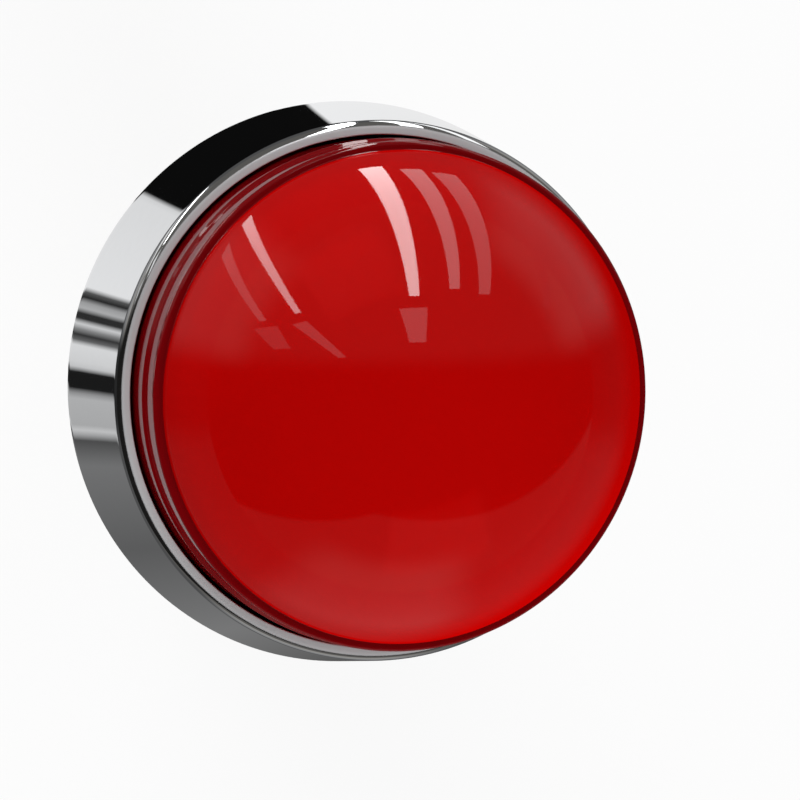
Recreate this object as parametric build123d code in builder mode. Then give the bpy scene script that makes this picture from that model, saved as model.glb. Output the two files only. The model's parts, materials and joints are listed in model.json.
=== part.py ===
from build123d import *

import os
from math import atan, atan2, cos, degrees, radians, sin, tan

# Illuminated dome push button for an arcade panel. Sizes are in millimetres and degrees.
# The origin is the middle of the panel seat, the flat ring under the bezel.
# +Z points out of the panel, towards the player, and the button is pressed along -Z.

# Bezel cup above the panel
bezel_diameter = 60.0
bezel_height = 16.0
bezel_flare = 2.2
lip_width = 1.2
lip_bevel = 0.4
base_bevel = 0.5
base_land = 1.2
floor_thickness = 2.5

# Stem below the panel. Its plain wall has the thread's root diameter.
collar_diameter = 27.6
collar_length = 2.0
stem_diameter = 26.2
stem_length = 33.0
stem_wall = 1.5
ledge_width = 1.0
ledge_depth = 8.0
guide_wall = 2.0

# Travel of the button and the clearances that all pieces share
travel = 4.0
slide_gap = 0.1
fit_gap = 0.2
shell_gap = 0.3
stop_gap = 0.1
touch_gap = 0.1

# Dome lens
mouth_gap = 0.6
skirt_step = 0.3
shoulder_width = 0.9
shoulder_drop = 0.5
shoulder_bevel = 0.5
band_height = 4.0
skirt_shown = 8.7
skirt_clearance = 2.5
dome_height = 15.7
lens_wall = 2.0
lens_corner = 3.3
inner_bands = 4
bead_height = 1.4
bead_width = 0.7

# White dome behind the lens
diffuser_wall = 1.5

# Plunger that carries the lens
carrier_thickness = 2.5
carrier_ring_height = 2.0
carrier_ring_wall = 1.4
plunger_wall = 1.9
hook_height = 2.1
hook_reach = 0.7
hook_land = 0.6
hook_spread = 30.0
hook_slot_width = 1.0
hook_slot_height = 10.0
leg_spread = 18.0
rib_count = 8
rib_thickness = 1.2
rib_height = 1.5

# Return spring under the carrier
spring_wire = 1.1
spring_turns = 2.5
spring_clearance = 0.9
spring_cup_wall = 1.2

# Nut that clamps the panel
nut_sides = 6
nut_across_flats = 36.0
nut_height = 9.0
nut_flange_width = 1.0
nut_flange_thickness = 2.2
nut_bevel = 0.5
nut_place = 12.0

# Lamp holder that closes the stem
holder_flange_thickness = 2.5
plug_length = 6.0
plug_wall = 1.5
lug_height = 2.0
lug_reach = 1.1
lug_spread = 14.0
lug_rise = 2.0
lug_turn_gap = 2.1
bayonet_turn = 28.0
socket_width = 12.5
socket_depth = 8.0
socket_rounding = 1.5
leg_window_gap = 0.4

# Wedge lamp
wedge_width = 9.6
wedge_thickness = 2.2
wedge_height = 8.0
bulb_body_width = 9.8
bulb_body_depth = 5.2
bulb_body_height = 9.0
bulb_body_rounding = 1.2
emitter_diameter = 5.0
emitter_height = 7.0
emitter_rim_width = 0.4
emitter_rim_height = 1.0
tip_bands = 3
lead_wire = 0.5
lead_length = 6.0

# Lamp contacts
contact_spacing = 6.8
contact_width = 3.0
contact_thickness = 0.5
contact_length = 8.0
lamp_tab_width = 4.8
lamp_tab_reach = 8.0
lamp_tab_bevel = 1.0

# Snap switch
switch_length = 27.8
switch_height = 15.9
switch_depth = 10.3
switch_wall = 1.4
cover_thickness = 1.4
cover_boss_height = 0.3
cover_panel_gap = 1.0
cover_panel_edge = 2.4
cover_panel_depth = 0.3
cover_panel_rounding = 1.0
peg_edge = 2.8
peg_diameter = 3.0
peg_boss_wall = 1.1
peg_gap = 0.05
lever_arm = 17.5
lever_length = 23.0
lever_width = 4.8
lever_thickness = 0.6
lever_low_angle = 2.1
lever_room = 0.8
trunnion_diameter = 1.5
ear_wall = 1.4
pivot_inset = 2.4
pin_arm = 5.5
pin_diameter = 2.4
pin_bevel = 0.4
pin_flange_width = 0.6
pin_flange_height = 1.0
blade_arm = 14.0
blade_length = 18.4
blade_width = 4.0
blade_thickness = 0.3
blade_level = 8.2
blade_knuckle = 0.9
contact_button_diameter = 2.6
contact_button_height = 0.4

# Terminals of the switch
terminal_width = 4.8
terminal_thickness = 0.6
terminal_reach = 8.0
terminal_hole = 1.4
terminal_bevel = 1.0
open_post_inset = 5.0

# Bracket that carries the switch
bracket_thickness = 2.0
bracket_edge = 0.9
bracket_neck = 11.0
bracket_shoulder = 6.0


def cap_radius(edge_radius, height):
    """Radius of the sphere whose cap has this edge radius and height."""
    return (edge_radius**2 + height**2) / (2 * height)


def dome_arc(edge_radius, edge_level, top):
    """Arc in a half section, from the dome's top on the axis down to its edge."""
    height = top - edge_level
    radius = cap_radius(edge_radius, height)
    reach = degrees(atan2(edge_radius, radius - height))
    return CenterArc((0, top - radius), radius, 90, -reach)


def dome_bands(edge_radius, edge_level, top, bands):
    """Points of a hidden dome in a half section, from its edge up to a flat crown on the axis.

    They lie on the same cap as the arc would, at even angles, so that the dome is turned in cone bands.
    """
    height = top - edge_level
    radius = cap_radius(edge_radius, height)
    step = atan2(edge_radius, radius - height) / bands
    ring = [(radius * sin(step * i), top - radius + radius * cos(step * i)) for i in range(bands, 0, -1)]
    return ring + [(0, ring[-1][1])]


def ring_sector(inner_radius, outer_radius, middle, spread):
    """Flat sector of a ring, spread degrees wide about the angle middle."""
    with BuildSketch() as sector:
        with BuildLine():
            outside = CenterArc((0, 0), outer_radius, middle - spread / 2, spread)
            inside = CenterArc((0, 0), inner_radius, middle - spread / 2, spread)
            Line(outside @ 0, inside @ 0)
            Line(outside @ 1, inside @ 1)
        make_face()
    return sector.sketch


def radial_plane(angle):
    """Plane through the axis, with its X pointing outwards at this angle and its Y along +Z."""
    turn = radians(angle)
    return Plane(origin=(0, 0, 0), x_dir=(cos(turn), sin(turn), 0), z_dir=(sin(turn), -cos(turn), 0))


# Radii, from the bezel inwards
bezel_radius = bezel_diameter / 2
lip_radius = bezel_radius - bezel_flare
mouth_radius = lip_radius - lip_width
skirt_radius = mouth_radius - mouth_gap
band_radius = skirt_radius - skirt_step
dome_edge_radius = band_radius - shoulder_width
lens_bore = skirt_radius - lens_wall
diffuser_radius = lens_bore - shell_gap
diffuser_bore = diffuser_radius - diffuser_wall
carrier_radius = diffuser_radius

# Radii, from the stem inwards
collar_radius = collar_diameter / 2
stem_radius = stem_diameter / 2
stem_bore = stem_radius - stem_wall
guide_radius = stem_bore - ledge_width
guide_outer = guide_radius + guide_wall
plunger_radius = guide_radius - slide_gap
plunger_bore = plunger_radius - plunger_wall
leg_radius = (plunger_radius + plunger_bore) / 2
spring_radius = guide_outer + spring_clearance + spring_wire / 2
spring_cup_bore = spring_radius + spring_wire / 2 + spring_clearance
plug_radius = stem_bore - fit_gap
slot_spread = lug_spread + 2 * lug_turn_gap
nut_corner_radius = nut_across_flats / 2 / cos(radians(180 / nut_sides))

# Levels above the panel
skirt_bottom = floor_thickness + travel + skirt_clearance
carrier_bottom = skirt_bottom + bead_height + touch_gap
carrier_top = carrier_bottom + carrier_thickness
guide_top = carrier_bottom - travel - stop_gap
dome_edge = bezel_height + skirt_shown
dome_top = dome_edge + dome_height
lens_ceiling = dome_top - lens_wall
lens_inner_edge = dome_edge - lens_corner
diffuser_top = lens_ceiling - shell_gap
diffuser_edge = lens_inner_edge - shell_gap

# Levels below the panel
hook_top = -ledge_depth - touch_gap
plunger_end = hook_top - hook_height
socket_top = plunger_end - travel - fit_gap
socket_slot_bottom = socket_top - wedge_height - fit_gap
flange_top = -stem_length
flange_bottom = flange_top - holder_flange_thickness
lug_bottom = flange_top + lug_rise

# Switch: lever angles, pivot and case
lever_rest_angle = degrees(atan(travel / lever_arm - tan(radians(lever_low_angle))))
lever_rise = tan(radians(lever_rest_angle))
lever_fall = tan(radians(lever_low_angle))
lever_skin = lever_thickness / 2 / cos(radians(lever_rest_angle))
lever_tip_rise = lever_length * sin(radians(lever_rest_angle)) + lever_skin
pivot_level = flange_bottom - lever_room - lever_tip_rise
pivot_height = lever_length * lever_fall + lever_thickness / 2 + shell_gap
case_top = pivot_level - pivot_height
case_bottom = case_top - switch_height
pivot_x = lever_arm
switch_x = pivot_x - switch_length / 2 + pivot_inset
switch_y = -leg_radius
case_back = switch_y + switch_depth / 2
case_front = switch_y - switch_depth / 2 + cover_thickness
leg_half_width = leg_radius * sin(radians(leg_spread / 2))
leg_tip = pivot_level + (lever_arm + leg_half_width) * lever_rise + lever_skin + touch_gap
peg_radius = peg_diameter / 2
peg_places = (
    (switch_x - switch_length / 2 + peg_edge, case_top - peg_edge),
    (switch_x + switch_length / 2 - peg_edge, case_bottom + peg_edge),
)

# Switch: pin, blade and contacts
pin_x = pivot_x - pin_arm
pin_travel = pin_arm * (lever_rise + lever_fall)
pin_radius = pin_diameter / 2
pin_top = pivot_level + (pin_arm - pin_radius) * lever_rise - lever_skin - touch_gap
blade_x = pin_x - blade_arm
blade_z = case_bottom + blade_level
blade_half_swing = degrees(atan(pin_travel / 2 / blade_arm))
blade_rise = tan(radians(blade_half_swing))
pin_bottom = blade_z + (blade_arm + pin_radius) * blade_rise + blade_thickness / 2 + touch_gap
ceiling = case_top - switch_wall
contact_x = blade_x + blade_length - contact_button_diameter / 2
contact_lift = (blade_length * blade_rise) + blade_thickness / 2 + contact_button_height + touch_gap
closed_level = blade_z + contact_lift
open_level = blade_z - contact_lift
knuckle_radius = blade_knuckle / 2
open_post_x = contact_x - open_post_inset

os.makedirs("parts", exist_ok=True)

# Chrome bezel and stem, one moulding turned from a half section
with BuildPart() as bezel_housing:
    with BuildSketch(Plane.XZ) as bezel_section:
        with BuildLine():
            Polyline(
                (bezel_radius, 0),
                (bezel_radius, base_land),
                (lip_radius, bezel_height),
                (mouth_radius, bezel_height),
                (mouth_radius, floor_thickness),
                (guide_outer, floor_thickness),
                (guide_outer, guide_top),
                (guide_radius, guide_top),
                (guide_radius, -ledge_depth),
                (stem_bore, -ledge_depth),
                (stem_bore, -stem_length),
                (stem_radius, -stem_length),
                (stem_radius, -collar_length),
                (collar_radius, -collar_length),
                (collar_radius, 0),
                close=True,
            )
        make_face()
        chamfer(bezel_section.vertices().group_by(Axis.Y)[-1], length=lip_bevel)
        chamfer(bezel_section.vertices().group_by(Axis.X)[-1].sort_by(Axis.Y)[0], length=base_bevel)
    revolve(axis=Axis.Z)
    # Two L-shaped bayonet slots in the end of the stem, an entry and a turn
    for side in (90, 270):
        with BuildSketch(Plane.XY.offset(-stem_length)):
            add(ring_sector(plug_radius, collar_radius, side - bayonet_turn, slot_spread))
        extrude(amount=lug_rise + lug_height + fit_gap, mode=Mode.SUBTRACT)
        with BuildSketch(Plane.XY.offset(lug_bottom - fit_gap)):
            add(ring_sector(plug_radius, collar_radius, side - bayonet_turn / 2, bayonet_turn + slot_spread))
        extrude(amount=lug_height + 2 * fit_gap, mode=Mode.SUBTRACT)

# Clear dome with a stepped skirt and a snap bead inside its lower edge
with BuildPart() as dome_lens:
    with BuildSketch(Plane.XZ) as lens_section:
        with BuildLine():
            outer_dome = dome_arc(dome_edge_radius, dome_edge, dome_top)
            inner_dome = dome_bands(lens_bore, lens_inner_edge, lens_ceiling, inner_bands)
            Polyline(
                outer_dome @ 1,
                (dome_edge_radius, dome_edge - shoulder_drop),
                (band_radius, dome_edge - shoulder_drop),
                (band_radius, dome_edge - shoulder_drop - band_height),
                (skirt_radius, dome_edge - shoulder_drop - band_height - skirt_step),
                (skirt_radius, skirt_bottom),
                (lens_bore, skirt_bottom),
                (lens_bore - bead_width, skirt_bottom + bead_height / 2),
                (lens_bore - bead_width, skirt_bottom + bead_height),
                (lens_bore, skirt_bottom + bead_height),
                *inner_dome,
                outer_dome @ 0,
            )
        make_face()
        shoulder = lens_section.vertices().sort_by_distance((band_radius, dome_edge - shoulder_drop))[0]
        chamfer(shoulder, length=shoulder_bevel)
    revolve(axis=Axis.Z)

# White inner dome that stands on the carrier
with BuildPart() as light_diffuser:
    with BuildSketch(Plane.XZ):
        with BuildLine():
            outer_dome = dome_bands(diffuser_radius, diffuser_edge, diffuser_top, inner_bands)
            inner_dome = dome_bands(diffuser_bore, diffuser_edge, diffuser_top - diffuser_wall, inner_bands)
            Polyline(
                *reversed(outer_dome),
                (diffuser_radius, carrier_top),
                (diffuser_bore, carrier_top),
                *inner_dome,
                close=True,
            )
        make_face()
    revolve(axis=Axis.Z)

# Carrier disc, hollow stem, hooks and the leg that works the switch
with BuildPart() as plunger:
    with BuildSketch(Plane.XY.offset(carrier_bottom)):
        Circle(carrier_radius)
        Circle(plunger_bore, mode=Mode.SUBTRACT)
    extrude(amount=carrier_thickness)
    with BuildSketch(Plane.XY.offset(carrier_top)):
        Circle(diffuser_bore - fit_gap)
        Circle(diffuser_bore - fit_gap - carrier_ring_wall, mode=Mode.SUBTRACT)
    extrude(amount=carrier_ring_height)
    with BuildSketch(Plane.XY.offset(carrier_bottom)):
        Circle(spring_cup_bore + spring_cup_wall)
        Circle(spring_cup_bore, mode=Mode.SUBTRACT)
    extrude(amount=-rib_height)
    rib_start = spring_cup_bore + spring_cup_wall / 2
    rib_end = lens_bore - bead_width - shell_gap
    with BuildSketch(Plane.XY.offset(carrier_bottom)):
        with PolarLocations((rib_start + rib_end) / 2, rib_count):
            Rectangle(rib_end - rib_start, rib_thickness)
    extrude(amount=-rib_height)
    with BuildSketch(Plane.XY.offset(carrier_bottom)):
        Circle(plunger_radius)
        Circle(plunger_bore, mode=Mode.SUBTRACT)
    extrude(amount=plunger_end - carrier_bottom)
    for side in (0, 180):
        with BuildSketch(radial_plane(side - hook_spread / 2)):
            with BuildLine():
                Polyline(
                    (leg_radius, hook_top),
                    (plunger_radius + hook_reach, hook_top),
                    (plunger_radius + hook_reach, hook_top - hook_land),
                    (plunger_radius, plunger_end),
                    (leg_radius, plunger_end),
                    close=True,
                )
            make_face()
        revolve(axis=Axis.Z, revolution_arc=hook_spread)
        slot_turn = hook_spread / 2 + degrees(hook_slot_width / plunger_radius)
        for edge in (-slot_turn, slot_turn):
            with BuildSketch(Plane.XY.offset(plunger_end)):
                with PolarLocations(leg_radius, 1, start_angle=side + edge):
                    Rectangle(2 * plunger_wall, hook_slot_width)
            extrude(amount=hook_slot_height, mode=Mode.SUBTRACT)
    with BuildSketch(Plane.XY.offset(leg_tip)):
        add(ring_sector(plunger_bore, plunger_radius, 270, leg_spread))
    extrude(amount=plunger_end - leg_tip)

# Coil between the cup's floor and the carrier
with BuildPart() as return_spring:
    spring_height = carrier_bottom - floor_thickness - spring_wire
    with BuildLine() as coil:
        spring_start = (0, 0, floor_thickness + spring_wire / 2)
        Helix(spring_height / spring_turns, spring_height, spring_radius, spring_start)
    with BuildSketch(Plane(origin=coil.line @ 0, x_dir=(1, 0, 0), z_dir=coil.line % 0)):
        Rectangle(spring_wire, spring_wire)
    sweep(is_frenet=True)

# Hexagon nut with a flange towards the panel
with BuildPart() as mounting_nut:
    with BuildSketch(Plane.XY.offset(-nut_place - nut_height)):
        RegularPolygon(nut_corner_radius, nut_sides)
    extrude(amount=nut_height)
    with BuildSketch(Plane.XY.offset(-nut_place)):
        Circle(nut_corner_radius + nut_flange_width)
    extrude(amount=-nut_flange_thickness)
    with BuildSketch(Plane.XY.offset(-nut_place)):
        Circle(stem_radius + slide_gap)
    extrude(amount=-nut_height, mode=Mode.SUBTRACT)
    nut_bore_edges = mounting_nut.edges().filter_by(GeomType.CIRCLE).filter_by_position(
        Axis.Z, -nut_place - nut_height, -nut_place - nut_height
    )
    chamfer(nut_bore_edges, length=nut_bevel)

# Bayonet plug with the lamp socket above its flange and the switch bracket below
with BuildPart() as lamp_holder:
    with BuildSketch(Plane.XY.offset(flange_bottom)):
        Circle(stem_radius)
    extrude(amount=holder_flange_thickness)
    with BuildSketch(Plane.XY.offset(flange_top)):
        Circle(plug_radius)
        Circle(plug_radius - plug_wall, mode=Mode.SUBTRACT)
    extrude(amount=plug_length)
    with BuildSketch(Plane.XY.offset(flange_top)):
        RectangleRounded(socket_width, socket_depth, socket_rounding)
    extrude(amount=socket_top - flange_top)
    with BuildSketch(Plane.XY.offset(socket_top)):
        Rectangle(
            max(wedge_width, contact_spacing + contact_width) + 2 * fit_gap,
            wedge_thickness + 2 * (lead_wire + contact_thickness + fit_gap),
        )
    extrude(amount=socket_slot_bottom - socket_top, mode=Mode.SUBTRACT)
    for side in (90, 270):
        with BuildSketch(Plane.XY.offset(lug_bottom)):
            add(ring_sector(plug_radius - plug_wall / 2, plug_radius + lug_reach, side, lug_spread))
        extrude(amount=lug_height)
    with BuildSketch(Plane.XY.offset(flange_bottom)):
        add(
            ring_sector(
                plunger_bore - leg_window_gap,
                plunger_radius + leg_window_gap,
                270,
                leg_spread + degrees(2 * leg_window_gap / plunger_bore),
            )
        )
    extrude(amount=plug_length + holder_flange_thickness, mode=Mode.SUBTRACT)
    # Slits that the two lamp contacts go down through
    slit_offset = wedge_thickness / 2 + lead_wire + touch_gap + contact_thickness / 2
    with BuildSketch(Plane.XY.offset(flange_bottom)):
        with Locations(
            (contact_spacing / 2, slit_offset),
            (-contact_spacing / 2, -slit_offset),
        ):
            Rectangle(contact_width + 2 * touch_gap, contact_thickness + 2 * touch_gap)
    extrude(amount=socket_slot_bottom - flange_bottom, mode=Mode.SUBTRACT)
    # Bracket plate beside the switch, and the two pegs that the switch hangs on
    bracket_left = switch_x - switch_length / 2 + bracket_edge
    bracket_right = switch_x + switch_length / 2 - bracket_edge
    bracket_waist = case_top - bracket_edge
    with BuildSketch(Plane.XZ.offset(-case_back)):
        with BuildLine():
            Polyline(
                (0, flange_bottom),
                (bracket_neck, flange_bottom),
                (bracket_right, flange_bottom - bracket_shoulder),
                (bracket_right, case_bottom + bracket_edge),
                (bracket_left, case_bottom + bracket_edge),
                (bracket_left, bracket_waist),
                (0, bracket_waist),
                close=True,
            )
        make_face()
    extrude(amount=-bracket_thickness)
    with BuildSketch(Plane.XZ.offset(-case_back)):
        with Locations(*peg_places):
            Circle(peg_radius)
    extrude(amount=switch_depth + bracket_edge)

# Wedge base of the lamp: a flat blade under a rounded body
with BuildPart() as bulb_base:
    with BuildSketch(Plane.XY.offset(socket_top - wedge_height)):
        Rectangle(wedge_width, wedge_thickness)
    extrude(amount=wedge_height)
    with BuildSketch(Plane.XY.offset(socket_top)):
        RectangleRounded(bulb_body_width, bulb_body_depth, bulb_body_rounding)
    extrude(amount=bulb_body_height)

# Clear lamp with a rim and a round end
with BuildPart() as led_emitter:
    emitter_base = socket_top + bulb_body_height
    emitter_top = emitter_base + emitter_height
    emitter_radius = emitter_diameter / 2
    with BuildSketch(Plane.XZ):
        with BuildLine():
            Polyline(
                *dome_bands(emitter_radius, emitter_top - emitter_radius, emitter_top, tip_bands),
                (0, emitter_base),
                (emitter_radius + emitter_rim_width, emitter_base),
                (emitter_radius + emitter_rim_width, emitter_base + emitter_rim_height),
                (emitter_radius, emitter_base + emitter_rim_height),
                close=True,
            )
        make_face()
    revolve(axis=Axis.Z)


def bulb_lead(side):
    """Wire on one face of the wedge, with a hook under the wedge's lower edge."""
    face = side * wedge_thickness / 2
    skin = side * lead_wire
    wedge_bottom = socket_top - wedge_height
    with BuildPart() as lead:
        with BuildSketch(Plane.YZ.offset(side * contact_spacing / 2 - lead_wire / 2)):
            with BuildLine():
                Polyline(
                    (face, wedge_bottom + lead_length),
                    (face + skin, wedge_bottom + lead_length),
                    (face + skin, wedge_bottom - fit_gap),
                    (0, wedge_bottom - fit_gap),
                    (0, wedge_bottom),
                    (face, wedge_bottom),
                    close=True,
                )
            make_face()
        extrude(amount=lead_wire)
    return lead


def lamp_contact(side):
    """Brass strip that stands in the socket, goes down through the flange and turns out as a tab."""
    inner = side * slit_offset - contact_thickness / 2
    middle = side * contact_spacing / 2
    tab_length = stem_radius + lamp_tab_reach - inner
    with BuildPart() as contact:
        with BuildSketch(Plane.XY.offset(flange_bottom - contact_thickness)):
            with Locations((middle, side * slit_offset)):
                Rectangle(contact_width, contact_thickness)
        extrude(amount=socket_slot_bottom + contact_length - flange_bottom + contact_thickness)
        with BuildSketch(Plane.XY.offset(flange_bottom)):
            with Locations((middle, inner)):
                Rectangle(lamp_tab_width, tab_length, align=(Align.CENTER, Align.MIN))
        extrude(amount=-contact_thickness)
        with BuildSketch(Plane.XY.offset(flange_bottom)):
            with Locations((middle, stem_radius + lamp_tab_reach / 2)):
                Circle(terminal_hole / 2)
        extrude(amount=-contact_thickness, mode=Mode.SUBTRACT)
        tab_corners = contact.edges().filter_by(Axis.Z).group_by(Axis.Y)[-1]
        chamfer(tab_corners, length=lamp_tab_bevel)
    return contact


bulb_lead_right = bulb_lead(1)
bulb_lead_left = bulb_lead(-1)
lamp_contact_right = lamp_contact(1)
lamp_contact_left = lamp_contact(-1)

# Switch body: a box open to the front, with bosses round the peg holes and ears for the lever
with BuildPart() as switch_case:
    with BuildSketch(Plane.XZ.offset(-case_back)):
        with Locations((switch_x, (case_top + case_bottom) / 2)):
            Rectangle(switch_length, switch_height)
    extrude(amount=case_back - case_front)
    with BuildSketch(Plane.XZ.offset(-case_front)):
        with Locations((switch_x, (case_top + case_bottom) / 2)):
            Rectangle(switch_length - 2 * switch_wall, switch_height - 2 * switch_wall)
        with Locations(*peg_places):
            Circle(peg_radius + peg_boss_wall, mode=Mode.SUBTRACT)
    extrude(amount=case_front - case_back + switch_wall, mode=Mode.SUBTRACT)
    with BuildSketch(Plane.XZ.offset(-case_back)):
        with Locations(*peg_places):
            Circle(peg_radius + peg_gap)
    extrude(amount=case_back - case_front, mode=Mode.SUBTRACT)
    for side in (-1, 1):
        ear_inner = switch_y + side * (lever_width / 2 + fit_gap)
        with BuildSketch(Plane.XZ.offset(-ear_inner)):
            with Locations((pivot_x, pivot_level)):
                Circle(pivot_inset)
            with Locations((pivot_x, case_top)):
                Rectangle(2 * pivot_inset, pivot_height, align=(Align.CENTER, Align.MIN))
            with Locations((pivot_x, case_top - pivot_inset)):
                Rectangle(2 * pivot_inset, 2 * pivot_inset, mode=Mode.SUBTRACT)
            with Locations((pivot_x, pivot_level)):
                Circle(trunnion_diameter / 2 + peg_gap, mode=Mode.SUBTRACT)
        extrude(amount=-side * ear_wall)
    with BuildSketch(Plane.XY.offset(case_top)):
        with Locations((pin_x, switch_y)):
            Circle(pin_radius + slide_gap)
    extrude(amount=-switch_wall, mode=Mode.SUBTRACT)
    # Slits for the two lower terminals and the end one
    with BuildSketch(Plane.XY.offset(case_bottom)):
        with Locations((blade_x, switch_y), (open_post_x, switch_y)):
            Rectangle(terminal_thickness + 2 * touch_gap, terminal_width + 2 * touch_gap)
    extrude(amount=switch_wall, mode=Mode.SUBTRACT)
    with BuildSketch(Plane.YZ.offset(switch_x + switch_length / 2)):
        with Locations((switch_y, closed_level + terminal_thickness / 2)):
            Rectangle(terminal_width + 2 * touch_gap, terminal_thickness + 2 * touch_gap)
    extrude(amount=-switch_wall, mode=Mode.SUBTRACT)

# Cover over the switch's open front, with bosses round the pegs and a sunk panel between them
with BuildPart() as switch_cover:
    with BuildSketch(Plane.XZ.offset(-case_front)):
        with Locations((switch_x, (case_top + case_bottom) / 2)):
            Rectangle(switch_length, switch_height)
    extrude(amount=cover_thickness)
    with BuildSketch(Plane.XZ.offset(-case_front)):
        with Locations(*peg_places):
            Circle(peg_radius + peg_boss_wall)
    extrude(amount=cover_thickness + cover_boss_height)
    with BuildSketch(Plane.XZ.offset(-case_front)):
        with Locations(*peg_places):
            Circle(peg_radius + peg_gap)
    extrude(amount=cover_thickness + cover_boss_height, mode=Mode.SUBTRACT)
    panel_end = peg_edge + peg_radius + peg_boss_wall + cover_panel_gap
    with BuildSketch(Plane.XZ.offset(cover_thickness - case_front)):
        with Locations((switch_x, (case_top + case_bottom) / 2)):
            RectangleRounded(
                switch_length - 2 * panel_end,
                switch_height - 2 * cover_panel_edge,
                cover_panel_rounding,
            )
    extrude(amount=-cover_panel_depth, mode=Mode.SUBTRACT)

# Pin with a flange that keeps it in the case
with BuildPart() as switch_pin:
    with BuildSketch(Plane.XY.offset(pin_bottom)):
        with Locations((pin_x, switch_y)):
            Circle(pin_radius)
    extrude(amount=pin_top - pin_bottom)
    chamfer(switch_pin.edges().group_by(Axis.Z)[-1], length=pin_bevel)
    with BuildSketch(Plane.XY.offset(ceiling - touch_gap)):
        with Locations((pin_x, switch_y)):
            Circle(pin_radius + pin_flange_width)
    extrude(amount=-pin_flange_height)

# Sheet lever on two trunnions, drawn along its own slope
lever_slope = radians(lever_rest_angle)
lever_plane = Plane(
    origin=(pivot_x, switch_y, pivot_level),
    x_dir=(-cos(lever_slope), 0, sin(lever_slope)),
    z_dir=(0, 1, 0),
)
with BuildPart() as switch_lever:
    with BuildSketch(lever_plane):
        Rectangle(lever_length, lever_thickness, align=(Align.MIN, Align.CENTER))
        Circle(trunnion_diameter / 2)
    extrude(amount=lever_width / 2, both=True)
    with BuildSketch(lever_plane):
        Circle(trunnion_diameter / 2)
    extrude(amount=lever_width / 2 + fit_gap + ear_wall, both=True)

# Moving contact arm, drawn along its own slope
blade_slope = radians(blade_half_swing)
blade_plane = Plane(
    origin=(blade_x, switch_y, blade_z),
    x_dir=(cos(blade_slope), 0, sin(blade_slope)),
    z_dir=(0, -1, 0),
)
with BuildPart() as snap_blade:
    with BuildSketch(blade_plane):
        Rectangle(blade_length, blade_thickness, align=(Align.MIN, Align.CENTER))
        Circle(knuckle_radius)
    extrude(amount=blade_width / 2, both=True)
    button_plane = Plane(origin=blade_plane.origin, x_dir=blade_plane.x_dir, z_dir=blade_plane.y_dir)
    with BuildSketch(button_plane):
        with Locations((blade_length - contact_button_diameter / 2, 0)):
            Circle(contact_button_diameter / 2)
    extrude(amount=blade_thickness / 2 + contact_button_height, both=True)

# Terminal that the blade turns on
with BuildPart() as terminal_common:
    with BuildSketch(Plane.XY.offset(case_bottom - terminal_reach)):
        with Locations((blade_x, switch_y)):
            Rectangle(terminal_thickness, terminal_width)
    extrude(amount=blade_z - knuckle_radius - touch_gap - case_bottom + terminal_reach)
    with BuildSketch(Plane.YZ.offset(blade_x)):
        with Locations((switch_y, case_bottom - terminal_reach / 2)):
            Circle(terminal_hole / 2)
    extrude(amount=terminal_thickness, both=True, mode=Mode.SUBTRACT)
    common_tip = terminal_common.edges().filter_by(Axis.X).group_by(Axis.Z)[0]
    chamfer(common_tip, length=terminal_bevel)

# Terminal below the blade's contact: a post with a shelf
with BuildPart() as terminal_open:
    with BuildSketch(Plane.XY.offset(case_bottom - terminal_reach)):
        with Locations((open_post_x, switch_y)):
            Rectangle(terminal_thickness, terminal_width)
    extrude(amount=open_level - case_bottom + terminal_reach)
    with BuildSketch(Plane.XY.offset(open_level)):
        with Locations((open_post_x - terminal_thickness / 2, switch_y)):
            Rectangle(
                contact_x + contact_button_diameter / 2 - open_post_x + terminal_thickness / 2,
                terminal_width,
                align=(Align.MIN, Align.CENTER),
            )
    extrude(amount=-terminal_thickness)
    with BuildSketch(Plane.YZ.offset(open_post_x)):
        with Locations((switch_y, case_bottom - terminal_reach / 2)):
            Circle(terminal_hole / 2)
    extrude(amount=terminal_thickness, both=True, mode=Mode.SUBTRACT)
    open_tip = terminal_open.edges().filter_by(Axis.X).group_by(Axis.Z)[0]
    chamfer(open_tip, length=terminal_bevel)

# Terminal above the blade's contact, out through the end wall
with BuildPart() as terminal_closed:
    closed_start = contact_x - contact_button_diameter / 2
    closed_end = switch_x + switch_length / 2 + terminal_reach
    with BuildSketch(Plane.XY.offset(closed_level)):
        with Locations((closed_start, switch_y)):
            Rectangle(closed_end - closed_start, terminal_width, align=(Align.MIN, Align.CENTER))
        with Locations((closed_end - terminal_reach / 2, switch_y)):
            Circle(terminal_hole / 2, mode=Mode.SUBTRACT)
    extrude(amount=terminal_thickness)
    closed_tip = terminal_closed.edges().filter_by(Axis.Z).group_by(Axis.X)[-1]
    chamfer(closed_tip, length=terminal_bevel)

pieces = {
    "bezel_housing": bezel_housing,
    "dome_lens": dome_lens,
    "light_diffuser": light_diffuser,
    "plunger": plunger,
    "return_spring": return_spring,
    "mounting_nut": mounting_nut,
    "lamp_holder": lamp_holder,
    "lamp_contact_left": lamp_contact_left,
    "lamp_contact_right": lamp_contact_right,
    "bulb_base": bulb_base,
    "bulb_lead_left": bulb_lead_left,
    "bulb_lead_right": bulb_lead_right,
    "led_emitter": led_emitter,
    "switch_case": switch_case,
    "switch_cover": switch_cover,
    "switch_pin": switch_pin,
    "switch_lever": switch_lever,
    "snap_blade": snap_blade,
    "terminal_common": terminal_common,
    "terminal_open": terminal_open,
    "terminal_closed": terminal_closed,
}
for name, piece in pieces.items():
    piece.part.label = name
    export_step(piece.part, f"parts/{name}.step")
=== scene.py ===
"""Lit dome push button for an arcade panel: finishes, thread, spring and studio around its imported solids."""

import json
from math import cos, pi, radians

import bmesh
import bpy
import numpy as np
from bpy.props import FloatProperty, FloatVectorProperty, PointerProperty
from mathutils import Matrix, Vector

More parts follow.
